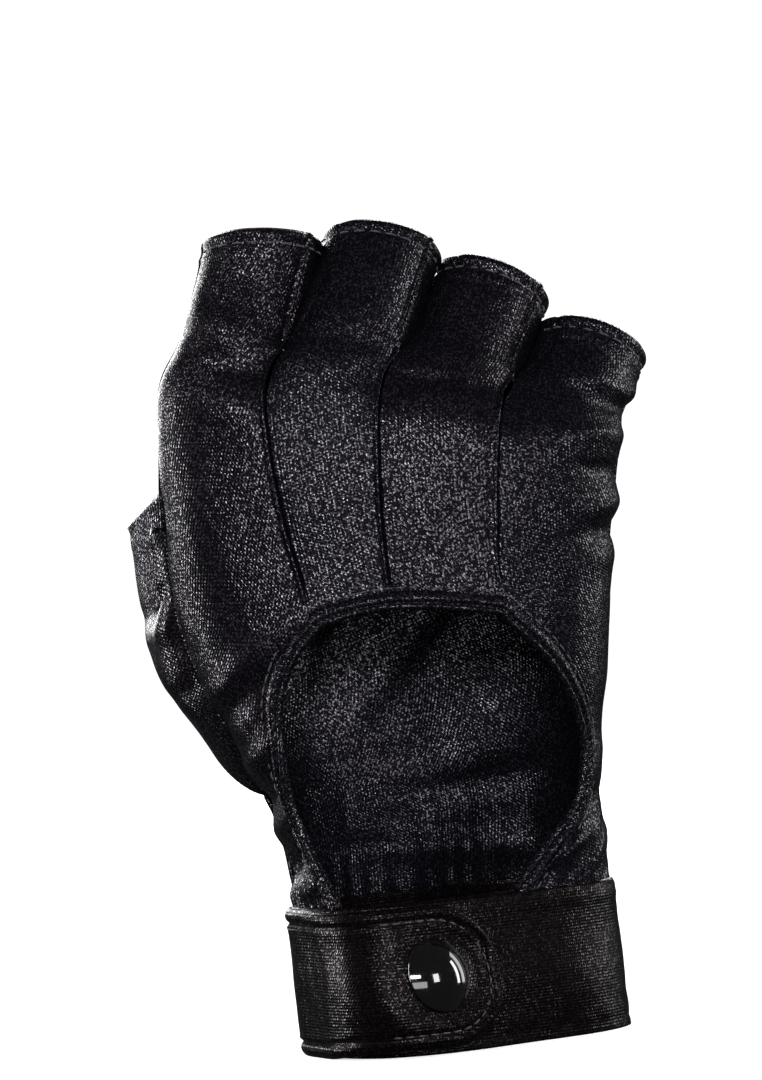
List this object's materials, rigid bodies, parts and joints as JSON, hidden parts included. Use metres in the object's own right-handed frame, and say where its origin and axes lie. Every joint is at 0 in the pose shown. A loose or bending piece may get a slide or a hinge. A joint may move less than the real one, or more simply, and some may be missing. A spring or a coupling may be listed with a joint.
{
  "type": "fingerless glove",
  "caption": "Right-hand fingerless dress glove with an open back, seamed back panels, a set-in thumb and a snapped wrist tab, shaped as worn.",
  "frame": {"origin": "centre of the wrist opening, in the plane of the cuff's lower edge", "axes": "+Z along the forearm towards the fingers, +X towards the little finger, -Y out of the back of the hand"},
  "size_m": [0.0915, 0.0623, 0.1404],
  "materials": {
    "satin": "shiny stretch satin, black with a grey violet sheen",
    "binding": "rolled stretch satin binding, black",
    "cuff_satin": "ribbed stretch satin, brownish black",
    "interfacing": "stiff non-woven interfacing, off white",
    "thread": "twisted polyester sewing thread, black",
    "snap_cap": "high gloss black enamel",
    "snap_metal": "plated pressed steel"
  },
  "bodies": {
    "glove": {"index_back_panel": "satin", "middle_back_panel": "satin", "ring_back_panel": "satin", "little_back_panel": "satin", "palm_panel": "satin", "index_middle_fourchette": "satin", "middle_ring_fourchette": "satin", "ring_little_fourchette": "satin", "thumb_sleeve": "satin", "opening_binding": "binding", "cuff_band": "cuff_satin", "cuff_interfacing": "interfacing", "snap_stud": "snap_metal", "snap_post": "snap_metal", "hem_stitching": "thread", "opening_stitching": "thread"},
    "tab": {"cuff_tab": "cuff_satin", "tab_interfacing": "interfacing", "tab_stitching": "thread", "snap_cap": "snap_cap", "snap_socket": "snap_metal"}
  },
  "joints": [
    {"name": "tab_hinge", "type": "hinge", "parent": "glove", "child": "tab", "pos_m": [-0.01559, -0.02274, 0], "axis": [0.0944, -0.0421, -0.9946], "range_deg": [0, 110]}
  ]
}
